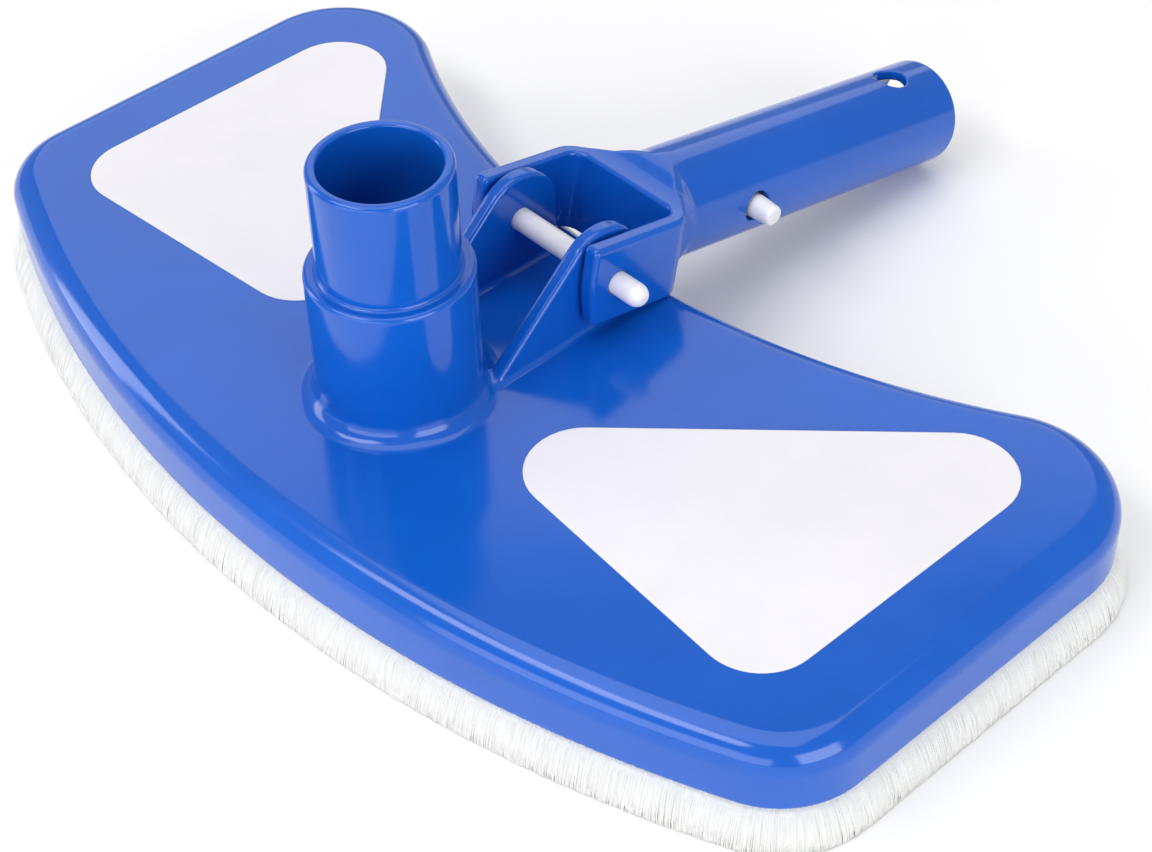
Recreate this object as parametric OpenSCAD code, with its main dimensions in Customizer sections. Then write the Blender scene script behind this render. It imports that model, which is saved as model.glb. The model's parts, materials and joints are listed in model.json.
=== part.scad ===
// Half-moon pool vacuum head: a hollow weighted ABS shell on a bristle skirt, with a
// two-stage hose connector, and a forked handle that swings on a nylon pin and snaps
// into a telescopic pole with a V-shaped spring clip.
// +X is the long side, +Y runs from the curved front edge to the handle, +Z is up.
// The origin is the middle of the bounding box's footprint, on the floor.

/* [Head outline] */
// Half of the head's width at the shell's wall
half_w = 140.8; // [120:1:160]
// Radius of the curved front edge
front_r = 314.8; // [300:1:340]
// Distance from the hose connector's axis to the front edge
front_reach = 48.2; // [46:1:56]
// Radius of the two front corners
front_corner_r = 23; // [18:1:28]
// Radius of the hollowed rear edge
rear_r = 208; // [200:1:216]
// Distance from the hose connector's axis to the middle of the rear edge
rear_reach = 68.7; // [67:0.5:71]
// Radius of the two rear corners
rear_corner_r = 26; // [22:1:28]

/* [Head section] */
// Height of the bristle skirt below the shell
skirt_h = 10.5; // [9:0.5:11]
// How far the bristle tips splay out beyond the shell's wall
skirt_splay = 3.8; // [2:0.2:4.6]
// Height of the shell from its lower edge to its flat top
shell_h = 16.4; // [15:0.2:19]
// Radius of the shell's rounded shoulder
shoulder_r = 7; // [4:0.5:8]
// Thickness of the shell's side wall
side_wall = 2; // [1.6:0.1:2.2]
// Thickness of the shell's top
top_wall = 3; // [2.4:0.2:4]
// Thickness of the base plate
base_t = 3; // [2.6:0.2:3.4]

/* [Hose connector] */
// Radius of the upper stage, for 32 mm hose
upper_r = 16; // [15:0.1:16.6]
// Radius of the lower stage, for 38 mm hose
lower_r = 19; // [18.4:0.1:19.6]
// Radius of the water passage
throat_r = 13.5; // [12:0.1:14]
// Height of the connector above the shell's flat top
connector_h = 62.3; // [50:0.5:70]
// Height of the step between the two stages above the shell's flat top
ledge_h = 35; // [28:0.5:40]
// Radius of the fillet where the connector meets the shell
foot_fillet = 4.5; // [2:0.5:6]

/* [Hinge] */
// Distance from the hose connector's axis back to the hinge pin
pin_y = 48.2; // [46:0.2:49]
// Height of the hinge pin above the shell's flat top
pin_h = 14.2; // [14:0.1:15]
// Radius of the hinge pin
pin_r = 2.85; // [2.5:0.05:3.2]
// Radius of the ears' rounded tops
ear_r = 11.8; // [10:0.2:12]
// Thickness of each ear
ear_t = 4; // [3:0.2:5]
// Distance from the middle plane to each ear's inner face
ear_in = 12; // [11:0.1:12.3]
// How far the pin's domed end stands out of the fork
pin_out = 8.6; // [4:0.2:12]

/* [Handle] */
// How far the handle droops below level when its end lies on the floor
droop = 12.2; // [12:0.1:12.2]
// Half of the fork's width
fork_half = 21; // [20.6:0.1:22]
// Thickness of the fork's cheeks
cheek_t = 4.2; // [3.8:0.1:4.4]
// Half of the fork's height
fork_up = 10.5; // [9:0.1:10.6]
// Length of the fork ahead of the pin
fork_front = 8.5; // [8:0.1:9]
// Distance from the pin to the closed end of the fork's window
window_end = 20.9; // [20:0.1:23]
// Radius of the handle tube
tube_r = 13.7; // [13:0.05:13.9]
// Wall thickness of the handle tube
tube_wall = 2.7; // [2.2:0.1:3.2]
// Distance from the pin to the free end of the tube
tube_end = 132.3; // [131:0.1:134]
// Radius of the hole near the tube's free end
end_hole_r = 4.3; // [3:0.1:5]
// Distance from the pin to the hole near the free end
end_hole_y = 117; // [114:0.5:118]

/* [Spring clip] */
// Distance from the pin to the clip's buttons
button_y = 55; // [50:0.5:60]
// Radius of the clip's buttons
button_r = 3; // [2.6:0.1:3.2]
// How far the buttons stand out of the tube
button_out = 5.6; // [4:0.1:6]
// Distance from the pin to the clip's bow
bow_y = 96; // [90:0.5:100]

/* [Hidden] */
$fn = 96;
eps = 0.01;

// Heights above the floor
seam_z = skirt_h;
top_z = skirt_h + shell_h;
deck_in_z = top_z - top_wall;
base_z = seam_z + 0.9;
base_top_z = base_z + base_t;
pin_z = top_z + pin_h;

// Outline construction: front arc, four corners, hollowed rear arc
front_c = front_r - front_reach;
rear_c = rear_reach + rear_r;
fc_x = half_w - front_corner_r;
fc_y = front_c - sqrt(pow(front_r - front_corner_r, 2) - fc_x * fc_x);
rc_x = half_w - rear_corner_r;
rc_y = rear_c - sqrt(pow(rear_r + rear_corner_r, 2) - rc_x * rc_x);
front_a = asin(fc_x / (front_r - front_corner_r));
rear_a = asin(rc_x / (rear_r + rear_corner_r));

// Shell section: rounded shoulder and wall down to the seam, a bevelled lower edge, then the
// cavity's side, which leans in under the shoulder to keep the wall's thickness
shoulder_steps = 6;
shell_section = concat([for (i = [0 : shoulder_steps])
    [shoulder_r * (sin(90 * i / shoulder_steps) - 1), top_z - shoulder_r * (1 - cos(90 * i / shoulder_steps))]],
    [[0, seam_z], [-side_wall, seam_z + 0.4], [-side_wall, top_z - shoulder_r + 0.5],
    [-side_wall - 2.2, deck_in_z]]);

// Where each ear's sloping edge meets the shell, behind the hose connector's axis
ear_foot_y = 14;

// The footprint's middle, so that the whole object is centred on the origin
end_round = 1.6;
tip_y = pin_y + (tube_end - end_round) * cos(droop) + (tube_r - end_round) * sin(droop) + end_round;
mid_y = (tip_y - front_reach - skirt_splay) / 2;

// Labels, as a triangle with rounded corners
label_in_x = 19.15;
label_out_x = 120.6;
label_in_y = -0.3;
label_rear_y = 99.2;
label_front_y = -9.2;
label_corner_r = 13.5;
label_t = 0.3;

// Screws: places of the nine base screws and the four weight screws, then wall and weight sizes
screw_r = 1.6;
screw_head_r = 3.2;
screw_head_h = 1.8;
screw_l = 8;
boss_r = 4;
base_screw_xy = [[0, -35], [72, -26], [127, -2], [127, 76], [76, 66],
    [-72, -26], [-127, -2], [-127, 76], [-76, 66]];
weight_screw_xy = [[66, 9], [104, 44], [-66, 9], [-104, 44]];
throat_wall = 2.6;
weight_t = 7.6;
weight_inset = 3;

// Brush strip: spine slot and bristle band, as offsets from the shell's wall
spine_out = -side_wall - 0.2;
spine_in = spine_out - 6;
spine_h = 5;
slot_h = 3;
root_out = spine_out - 0.4;
root_in = spine_in + 1.6;
base_edge = spine_in - 0.2;

// Handle details, measured from the pin along the tube
bore_r = tube_r - tube_wall;
bore_y = 34;
slot_from = 46;
slot_to = 108;
slot_level = -10;
pin_fit = 0.06;
button_gap = 0.9;
cheek_end = 17;
arm_gap = 0.3;
arm_t = 1.6;
arm_w = 8;
arm_x = bore_r - 2.4;
pin_head_r = 5;
pin_head_t = 2.2;

// ---------- outline helpers ----------

// Points of an arc about c, from angle a to angle b, in n steps
function arc(c, r, a, b, n) = [for (i = [0 : n]) c + r * [cos(a + (b - a) * i / n), sin(a + (b - a) * i / n)]];

// The two curved runs of the head's outline, moved outwards by o and listed anticlockwise:
// the front with its corners, and the hollowed rear with its corners
function front_run(o) = concat(
    arc([-fc_x, fc_y], front_corner_r + o, 180, 270 - front_a, 10),
    trim(arc([0, front_c], front_r + o, -90 - front_a, -90 + front_a, 32)),
    arc([fc_x, fc_y], front_corner_r + o, -90 + front_a, 0, 10));
function rear_run(o) = concat(
    arc([rc_x, rc_y], rear_corner_r + o, 0, 90 + rear_a, 16),
    trim(arc([0, rear_c], rear_r - o, -90 + rear_a, -90 - rear_a, 24)),
    arc([-rc_x, rc_y], rear_corner_r + o, 90 - rear_a, 180, 16));
function outline(o) = concat(front_run(o), rear_run(o));

// A list without its first and last items, which its neighbours already hold
function trim(v) = [for (i = [1 : len(v) - 2]) v[i]];

module slab(o, z, h) {
    translate([0, 0, z]) linear_extrude(h) polygon(outline(o));
}

// Solid between stacked copies of the outline: section lists (offset outwards, height), top first
module skin(section) {
    n = len(outline(0));
    m = len(section);
    points = [for (s = section) for (p = outline(s[0])) [p[0], p[1], s[1]]];
    sides = [for (j = [0 : m - 2]) for (i = [0 : n - 1])
        [j * n + i, j * n + (i + 1) % n, (j + 1) * n + (i + 1) % n, (j + 1) * n + i]];
    caps = [[for (i = [n - 1 : -1 : 0]) i], [for (i = [0 : n - 1]) (m - 1) * n + i]];
    polyhedron(points, concat(sides, caps));
}

// Closed section swept along a run: rows holds one copy of the run for each corner of the section
module strip(rows, heights) {
    m = len(rows);
    n = len(rows[0]);
    points = [for (j = [0 : m - 1]) for (p = rows[j]) [p[0], p[1], heights[j]]];
    sides = [for (j = [0 : m - 1]) for (i = [0 : n - 2])
        [j * n + i, j * n + i + 1, ((j + 1) % m) * n + i + 1, ((j + 1) % m) * n + i]];
    caps = [[for (j = [0 : m - 1]) j * n], [for (j = [m - 1 : -1 : 0]) j * n + n - 1]];
    polyhedron(points, concat(sides, caps));
}

module front_strip(section) {
    strip([for (s = section) front_run(s[0])], [for (s = section) s[1]]);
}

module rear_strip(section) {
    strip([for (s = section) rear_run(s[0])], [for (s = section) s[1]]);
}

module side_strip(section) {
    translate([half_w, fc_y, 0]) rotate([90, 0, 0]) mirror([0, 0, 1]) linear_extrude(rc_y - fc_y) polygon(section);
}

module both() {
    children();
    mirror([1, 0, 0]) children();
}

// Moves the head from the connector's axis to the origin
module in_head() {
    translate([0, -mid_y, 0]) children();
}

// Moves the handle from its own frame (pin at the origin, tube along +Y) to its place
module in_handle() {
    translate([0, pin_y - mid_y, pin_z]) rotate([-droop, 0, 0]) children();
}

// ---------- head ----------

// Hollow shell with screw bosses under its deck and a round hole for the connector's throat
module top_shell() {
    color("#1c5fc8") in_head() difference() {
        union() {
            skin(shell_section);
            for (xy = base_screw_xy) boss(xy);
        }
        translate([0, 0, base_z]) cylinder(r = throat_r + throat_wall, h = shell_h);
    }
}

module boss(xy) {
    translate([xy[0], xy[1], base_top_z]) difference() {
        cylinder(r = boss_r, h = deck_in_z - base_top_z + 0.5);
        translate([0, 0, -eps]) cylinder(r = screw_r, h = screw_l - base_t + screw_head_h + 1);
    }
}

// Half section of the connector above the deck: two stages with rounded rims and a foot fillet
module connector_section() {
    edge = 1.2;
    translate([0, top_z]) {
        square([lower_r, ledge_h - edge]);
        square([lower_r - edge, ledge_h]);
        translate([lower_r - edge, ledge_h - edge]) circle(edge);
        square([upper_r, connector_h - edge]);
        square([upper_r - edge, connector_h]);
        translate([upper_r - edge, connector_h - edge]) circle(edge);
        difference() {
            square([lower_r + foot_fillet, foot_fillet]);
            translate([lower_r + foot_fillet, foot_fillet]) circle(foot_fillet);
        }
    }
}

// Two-stage connector on the deck, with the throat that runs down to the underside
module hose_connector() {
    color("#1c5fc8") in_head() difference() {
        union() {
            rotate_extrude() connector_section();
            translate([0, 0, base_z]) cylinder(r = throat_r + throat_wall, h = shell_h);
        }
        translate([0, 0, base_z - 1]) cylinder(r = throat_r, h = top_z + connector_h);
    }
}

// Side view of an ear below its rounded top: a gusset that rises from the connector's foot. Its
// straight edges run a hair inside the rounding, so that they cross it instead of just touching
module ear_side() {
    edge_r = ear_r - 0.04;
    rise = atan2(pin_h, pin_y - ear_foot_y);
    lift = rise + asin(edge_r / norm([pin_h, pin_y - ear_foot_y]));
    polygon([[ear_foot_y, top_z], [pin_y - edge_r * sin(lift), pin_z + edge_r * cos(lift)],
        [pin_y + edge_r * cos(15), pin_z + edge_r * sin(15)], [pin_y + edge_r, top_z]]);
}

// An ear starts just clear of the connector's foot
module hinge_ear() {
    difference() {
        union() {
            translate([ear_in, 0, 0]) rotate([90, 0, 90]) linear_extrude(ear_t) ear_side();
            translate([ear_in, pin_y, pin_z]) rotate([0, 90, 0]) cylinder(r = ear_r, h = ear_t);
        }
        cylinder(r = lower_r + foot_fillet + 0.05, h = pin_z);
        translate([0, pin_y, pin_z]) rotate([0, 90, 0]) cylinder(r = pin_r, h = fork_half);
    }
}

module hinge_ear_right() {
    color("#1c5fc8") in_head() hinge_ear();
}

module hinge_ear_left() {
    color("#1c5fc8") in_head() mirror([1, 0, 0]) hinge_ear();
}

// Flat plate that closes the underside, with a raised lip round the suction trough
module base_plate() {
    trough_x = 58;
    rib_x = [-118, -88, 88, 118];
    color("#2b66c0") in_head() difference() {
        union() {
            slab(base_edge, base_z, base_t);
            translate([0, 0, base_z - 2.4]) linear_extrude(3) difference() {
                trough(trough_x, throat_r + 8);
                trough(trough_x, throat_r + 5.6);
            }
            for (x = rib_x) rib(x);
        }
        translate([0, 0, base_z - 5]) cylinder(r = throat_r + 2.8, h = base_t + 10);
        for (xy = concat(base_screw_xy, weight_screw_xy)) translate([xy[0], xy[1], base_z - 1]) {
            cylinder(r = screw_head_r + 0.3, h = screw_head_h + 1.1);
            cylinder(r = screw_r + 0.2, h = base_t + 2);
        }
    }
}

// Plan of the suction trough's lip
module trough(x, r) {
    both() translate([x, 0]) circle(r);
    square([2 * x, 2 * r], center = true);
}

// Stiffening rib across the underside
module rib(x) {
    translate([x - 1, 10, base_z - 2.4]) cube([2, 60, 3]);
}

// Rounded triangle, drawn for the +X side, shrunk by o
module label_shape(o) {
    r = label_corner_r;
    a = [label_in_x, label_in_y];
    b = [label_out_x, label_front_y];
    c = [label_out_x, label_rear_y];
    p = [round_in(c, a, b, r), round_in(a, b, c, r), round_in(b, c, a, r)];
    rr = r - o;
    n = [side_normal(a, b), side_normal(b, c), side_normal(c, a)];
    polygon([p[0] + rr * n[0], p[1] + rr * n[0], p[1] + rr * n[1], p[2] + rr * n[1],
        p[2] + rr * n[2], p[0] + rr * n[2]]);
    for (q = p) translate(q) circle(rr);
}

// Outward normal of the side from p to q, and the centre of a corner's rounding
function side_normal(p, q) = [q[1] - p[1], p[0] - q[0]] / norm(q - p);
function round_in(p, q, s, r) =
    let (u = (p - q) / norm(p - q), v = (s - q) / norm(s - q), w = (u + v) / norm(u + v))
    q + w * r / sin(acos(u * v) / 2);

module label_plate() {
    translate([0, 0, top_z]) linear_extrude(label_t) label_shape(0);
}

module label_right() {
    color("#f2f0f6") in_head() label_plate();
}

module label_left() {
    color("#f2f0f6") in_head() mirror([1, 0, 0]) label_plate();
}

// ---------- brush strips ----------

// Channel strip with a slot for the bristles' roots, and the bristle band that splays from it
spine_section = [[spine_in, base_z], [root_in, base_z], [root_in, base_z + slot_h], [root_out, base_z + slot_h],
    [root_out, base_z], [spine_out, base_z], [spine_out, base_z + spine_h], [spine_in, base_z + spine_h]];
bristle_section = [[root_in, base_z + slot_h], [root_in, 9], [root_in + 1.4, 4.5], [-3.2, 0], [skirt_splay, 0],
    [skirt_splay - 0.9, 3.4], [skirt_splay - 2.5, 7], [-0.6, seam_z - 0.5], [root_out, seam_z - 0.2],
    [root_out, base_z + slot_h]];

// Bar between two offsets of a run, less the slot, which runs out past both ends
module spine(run_out, run_in, slot_out, slot_in, past) {
    difference() {
        translate([0, 0, base_z]) linear_extrude(spine_h) band(run_out, run_in);
        translate([0, 0, base_z - 1]) linear_extrude(slot_h + 1)
            band(lengthen(slot_out, past), lengthen(slot_in, past));
    }
}

module band(a, b) {
    polygon(concat(a, [for (i = [len(b) - 1 : -1 : 0]) b[i]]));
}

// A run with one more point at each end, moved by dy along Y
function lengthen(v, dy) = concat([v[0] + [0, dy]], v, [v[len(v) - 1] + [0, dy]]);

module brush_spine_front() {
    color("#dfe3e2") in_head()
        spine(front_run(spine_out), front_run(spine_in), front_run(root_out), front_run(root_in), 1);
}

module brush_spine_right() {
    color("#dfe3e2") in_head() side_strip(spine_section);
}

module brush_spine_left() {
    color("#dfe3e2") in_head() mirror([1, 0, 0]) side_strip(spine_section);
}

module brush_spine_rear() {
    color("#dfe3e2") in_head()
        spine(rear_run(spine_out), rear_run(spine_in), rear_run(root_out), rear_run(root_in), -1);
}

module bristles_front() {
    color("#eef1ee") in_head() front_strip(bristle_section);
}

module bristles_right() {
    color("#eef1ee") in_head() side_strip(bristle_section);
}

module bristles_left() {
    color("#eef1ee") in_head() mirror([1, 0, 0]) side_strip(bristle_section);
}

module bristles_rear() {
    color("#eef1ee") in_head() rear_strip(bristle_section);
}

// ---------- weights and screws ----------

module weight() {
    difference() {
        translate([0, 0, base_top_z]) linear_extrude(weight_t) label_shape(weight_inset);
        for (xy = weight_screw_xy) translate([xy[0], xy[1], base_top_z - 1]) cylinder(r = screw_r, h = 7);
    }
}

module weight_right() {
    color("#8d9093") in_head() weight();
}

module weight_left() {
    color("#8d9093") in_head() mirror([1, 0, 0]) weight();
}

// Pan-head screw with a cross recess, driven upwards from the underside
module screw(xy) {
    translate([xy[0], xy[1], base_z + 0.1]) difference() {
        union() {
            cylinder(r = screw_head_r, h = screw_head_h);
            cylinder(r = screw_r, h = screw_head_h + screw_l - 2.6);
        }
        translate([0, 0, 0.4]) cube([3.6, 0.9, 1.8], center = true);
        translate([0, 0, 0.4]) cube([0.9, 3.6, 1.8], center = true);
    }
}

module weight_screws() {
    color("#c3c6c9") in_head() for (xy = weight_screw_xy) screw(xy);
}

module base_screws() {
    color("#c3c6c9") in_head() for (xy = base_screw_xy) screw(xy);
}

// ---------- hinge pin ----------

// Nylon rod with a domed end on the +X side and a neck for its cap on the -X side
module hinge_pin() {
    tip = fork_half + pin_out;
    color("#e8e8ee") translate([0, pin_y - mid_y, pin_z]) rotate([0, 90, 0]) {
        translate([0, 0, -fork_half - 2.6]) cylinder(r = pin_r, h = fork_half + 2.6 + tip - pin_r);
        translate([0, 0, tip - pin_r]) difference() {
            sphere(pin_r);
            translate([0, 0, -pin_r]) cube(2 * pin_r, center = true);
        }
    }
}

// Push-on cap that keeps the pin from sliding out
module pin_cap() {
    color("#e8e8ee") translate([-fork_half - 0.4 - pin_head_t, pin_y - mid_y, pin_z]) rotate([0, 90, 0])
        difference() {
            cylinder(r = pin_head_r, h = pin_head_t);
            translate([0, 0, -1]) cylinder(r = pin_r, h = pin_head_t + 2);
        }
}

// ---------- handle ----------

// Side view of a cheek, with the lower front corner cut back to clear the deck
module cheek_side() {
    polygon([[-fork_front, -1], [-fork_front + 2.6, -fork_up], [cheek_end, -fork_up],
        [cheek_end, fork_up], [-fork_front + 1.2, fork_up], [-fork_front, fork_up - 1.2]]);
}

// Plan of the bridge behind the window, narrowing to the tube on hollow flanks
module bridge_plan() {
    waist = 8;
    difference() {
        polygon([[-fork_half, 16], [fork_half, 16], [fork_half, 19.4], [19.2, 22.6], [tube_r - 1, 33],
            [1 - tube_r, 33], [-19.2, 22.6], [-fork_half, 19.4]]);
        for (s = [-1, 1]) translate([s * (tube_r + waist - 0.6), 30]) circle(waist);
    }
}

module fork() {
    difference() {
        union() {
            both() translate([fork_half - cheek_t, 0, 0]) rotate([90, 0, 90])
                linear_extrude(cheek_t) cheek_side();
            translate([0, 0, -fork_up]) linear_extrude(2 * fork_up) bridge_plan();
        }
        translate([0, 0, -fork_up - 1]) linear_extrude(2 * fork_up + 2) window_plan();
    }
}

// The window between the cheeks, with rounded inner corners
module window_plan() {
    w = fork_half - cheek_t;
    r = 3.5;
    translate([-w, -fork_front - 1]) square([2 * w, fork_front + 1 + window_end - r]);
    translate([r - w, -fork_front - 1]) square([2 * (w - r), fork_front + 1 + window_end]);
    for (s = [-1, 1]) translate([s * (w - r), window_end - r]) circle(r);
}

// Tube with a tapered root inside the bridge and a rounded rim at its free end
module tube_section() {
    square([tube_r, tube_end - end_round]);
    square([tube_r - end_round, tube_end]);
    translate([tube_r - end_round, tube_end - end_round]) circle(end_round);
}

module tube() {
    rotate([-90, 0, 0]) difference() {
        rotate_extrude() tube_section();
        translate([0, 0, -1]) cylinder(r = tube_r + 1, h = window_end + 6);
    }
    rotate([-90, 0, 0]) translate([0, 0, window_end + 2]) cylinder(r1 = fork_up, r2 = tube_r, h = 8);
}

module swivel_handle() {
    color("#1c5fc8") in_handle() difference() {
        union() {
            fork();
            tube();
        }
        translate([0, bore_y, 0]) rotate([-90, 0, 0]) cylinder(r = bore_r, h = tube_end);
        translate([-tube_r - 1, slot_from, -tube_r - 5])
            cube([2 * tube_r + 2, slot_to - slot_from, 5 + tube_r + slot_level]);
        translate([0, end_hole_y, 0]) cylinder(r = end_hole_r, h = tube_r + 2);
        translate([-tube_r - 2, button_y, 0]) rotate([0, 90, 0])
            cylinder(r = button_r + button_gap, h = 2 * tube_r + 4);
        translate([-fork_half - 1, 0, 0]) rotate([0, 90, 0])
            cylinder(r = pin_r + pin_fit, h = 2 * fork_half + 2);
    }
}

// ---------- spring clip ----------

// Bow of the clip, a half ring that springs against the inside of the tube
module clip_bow() {
    color("#e9e9ef") in_handle() translate([0, bow_y, -arm_w / 2]) difference() {
        cylinder(r = arm_x, h = arm_w);
        translate([0, 0, -1]) cylinder(r = arm_x - arm_t, h = arm_w + 2);
        translate([-arm_x - 1, -2 * arm_x, -1]) cube([2 * arm_x + 2, 2 * arm_x, arm_w + 2]);
    }
}

// Arm of the clip on the +X side, from the bow to just past the button
module clip_arm() {
    tip = 5;
    translate([arm_x - arm_t, button_y - tip, -arm_w / 2])
        cube([arm_t, bow_y - button_y + tip - arm_gap, arm_w]);
}

// Button on the arm's end: it tapers outside the tube, so that it can tilt through its hole
module clip_button() {
    chamfer = 0.7;
    end_r = button_r - 0.4;
    taper_l = button_out - chamfer;
    translate([arm_x, button_y, 0]) rotate([0, 90, 0]) {
        cylinder(r = button_r, h = tube_r - arm_x);
        translate([0, 0, tube_r - arm_x]) cylinder(r1 = button_r, r2 = end_r, h = taper_l);
        translate([0, 0, tube_r - arm_x + taper_l]) cylinder(r1 = end_r, r2 = end_r - chamfer, h = chamfer);
    }
}

module clip_arm_right() {
    color("#e9e9ef") in_handle() clip_arm();
}

module clip_arm_left() {
    color("#e9e9ef") in_handle() mirror([1, 0, 0]) clip_arm();
}

module clip_button_right() {
    color("#e9e9ef") in_handle() clip_button();
}

module clip_button_left() {
    color("#e9e9ef") in_handle() mirror([1, 0, 0]) clip_button();
}

top_shell();
hose_connector();
hinge_ear_left();
hinge_ear_right();
base_plate();
label_left();
label_right();
brush_spine_front();
brush_spine_left();
brush_spine_right();
brush_spine_rear();
bristles_front();
bristles_left();
bristles_right();
bristles_rear();
weight_left();
weight_right();
weight_screws();
base_screws();
hinge_pin();
pin_cap();
swivel_handle();
clip_bow();
clip_arm_left();
clip_arm_right();
clip_button_left();
clip_button_right();
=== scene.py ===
"""Looks of the pool vacuum head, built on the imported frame. Shapes are worked out in mm, meshes in metres."""
import json
import math

import bpy
import numpy as np
from mathutils import Matrix, Vector


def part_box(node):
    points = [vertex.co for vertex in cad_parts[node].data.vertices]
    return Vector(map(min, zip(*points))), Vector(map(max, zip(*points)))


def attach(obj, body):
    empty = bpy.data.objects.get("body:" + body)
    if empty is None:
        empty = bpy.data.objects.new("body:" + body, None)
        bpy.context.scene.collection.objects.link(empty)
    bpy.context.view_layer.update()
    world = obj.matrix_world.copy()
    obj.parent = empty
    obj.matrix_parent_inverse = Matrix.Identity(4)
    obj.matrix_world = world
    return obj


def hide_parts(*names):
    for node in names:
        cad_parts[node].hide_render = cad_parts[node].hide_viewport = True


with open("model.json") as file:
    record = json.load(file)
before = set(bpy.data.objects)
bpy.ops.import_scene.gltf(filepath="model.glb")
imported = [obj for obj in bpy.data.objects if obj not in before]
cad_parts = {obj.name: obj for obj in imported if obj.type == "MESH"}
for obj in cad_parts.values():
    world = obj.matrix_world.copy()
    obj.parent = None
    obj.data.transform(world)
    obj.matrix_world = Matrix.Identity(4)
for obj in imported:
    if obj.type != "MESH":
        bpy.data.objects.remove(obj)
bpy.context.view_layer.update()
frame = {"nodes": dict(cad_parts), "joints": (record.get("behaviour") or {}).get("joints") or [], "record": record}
record = frame["record"]
rng = np.random.default_rng(11)


# ---------- sizes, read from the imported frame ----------

def box_mm(node):
    lo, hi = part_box(node)
    return np.array(lo) * 1000, np.array(hi) * 1000


mounts = {m["name"]: m for m in record["mounts"]}
joints = {j["name"]: j for j in frame["joints"]}
shell_lo, shell_hi = box_mm("top_shell")
conn_lo, conn_hi = box_mm("hose_connector")
half_w = shell_hi[0]
seam_z, top_z, rim_z = shell_lo[2], shell_hi[2], conn_hi[2]
axis_y = mounts["hose_upper_stage"]["pos_m"][1] * 1000
upper_r = mounts["hose_upper_stage"]["dims"]["r_mm"]
lower_r = mounts["hose_lower_stage"]["dims"]["r_mm"]
throat_r = mounts["water_passage"]["dims"]["r_mm"]
foot_fillet = (conn_hi[0] - conn_lo[0]) / 2 - lower_r
ledge_z = (mounts["hose_lower_stage"]["pos_m"][2] * 1000
           + mounts["hose_lower_stage"]["dims"]["length_mm"] / 2 + 1.2)
pin_y, pin_z = (v * 1000 for v in joints["handle_swing"]["pos_m"][1:])
tube_axis = np.array(mounts["pole_tube"]["axis"])
tube_r = mounts["pole_tube"]["dims"]["r_mm"]
droop = math.atan2(-tube_axis[2], tube_axis[1])
tube_end = float(np.dot(np.array(mounts["pole_tube"]["pos_m"]) * 1000 - [0, pin_y, pin_z], tube_axis))
hole_r = mounts["end_hole"]["dims"]["r_mm"]
hole_at = float(np.dot(np.array(mounts["end_hole"]["pos_m"]) * 1000 - [0, pin_y, pin_z], tube_axis))
ear_lo, ear_hi = box_mm("hinge_ear_right")
pin_lo, pin_hi = box_mm("hinge_pin")
pin_r = (pin_hi[2] - pin_lo[2]) / 2
cap_lo, cap_hi = box_mm("pin_cap")

# the half-moon outline, about the connector's axis: radii of the arcs and of their corners
FRONT_R, FRONT_CR, REAR_R, REAR_CR = 314.8, 23.0, 208.0, 26.0
REAR_REACH = 68.7
front_c, rear_c = FRONT_R - (axis_y - shell_lo[1]), REAR_REACH + REAR_R
fc = np.array([half_w - FRONT_CR, front_c - math.sqrt((FRONT_R - FRONT_CR) ** 2 - (half_w - FRONT_CR) ** 2)])
rc = np.array([half_w - REAR_CR, rear_c - math.sqrt((REAR_R + REAR_CR) ** 2 - (half_w - REAR_CR) ** 2)])
front_a = math.asin(fc[0] / (FRONT_R - FRONT_CR))
rear_a = math.asin(rc[0] / (REAR_R + REAR_CR))


# ---------- signed distances ----------

def join(a, b, r):
    u, v = np.maximum(r - a, 0), np.maximum(r - b, 0)
    return np.maximum(r, np.minimum(a, b)) - np.sqrt(u * u + v * v)


def meet(a, b, r):
    u, v = np.maximum(r + a, 0), np.maximum(r + b, 0)
    return np.minimum(-r, np.maximum(a, b)) + np.sqrt(u * u + v * v)


def cut(a, b, r):
    return meet(a, -b, r)


def outline_distance(x, y):
    """Distance to the head's outline, negative inside; x and y are about the connector's axis."""
    x = np.abs(x)
    d = np.maximum(np.hypot(x, y - front_c) - FRONT_R, x - half_w)
    d = np.maximum(d, REAR_R - np.hypot(x, y - rear_c))
    fx, fy = x - fc[0], y - fc[1]
    n = (math.sin(front_a), -math.cos(front_a))
    corner = (fy < 0) & (n[0] * fy - n[1] * fx > 0)
    d = np.where(corner, np.hypot(fx, fy) - FRONT_CR, d)
    rx, ry = x - rc[0], y - rc[1]
    n = (-math.sin(rear_a), math.cos(rear_a))
    corner = (ry > 0) & (rx * n[1] - ry * n[0] > 0)
    return np.where(corner, np.hypot(rx, ry) - REAR_CR, d)


EAR_R = ear_hi[2] - pin_z
EAR_FOOT = 14.0
WALL, DECK, SHOULDER_R, EDGE_R, RIM_R = 2.0, 3.0, 7.0, 0.5, 1.2
THROAT_WALL = 2.6


def ear_profile(y, z):
    """Side view of an ear; y is about the connector's axis."""
    cy, cz = pin_y - axis_y, pin_z
    rise = math.atan2(cz - top_z, cy - EAR_FOOT)
    slope = rise + math.asin(EAR_R / math.hypot(cz - top_z, cy - EAR_FOOT))
    n = (-math.sin(slope), math.cos(slope))
    y, z = y - cy, z - cz
    d = np.maximum(y * n[0] + z * n[1], y) - EAR_R
    sector = (z > 0) & (n[0] * z - n[1] * y < 0)
    return np.where(sector, np.hypot(y, z) - EAR_R, d)


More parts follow.
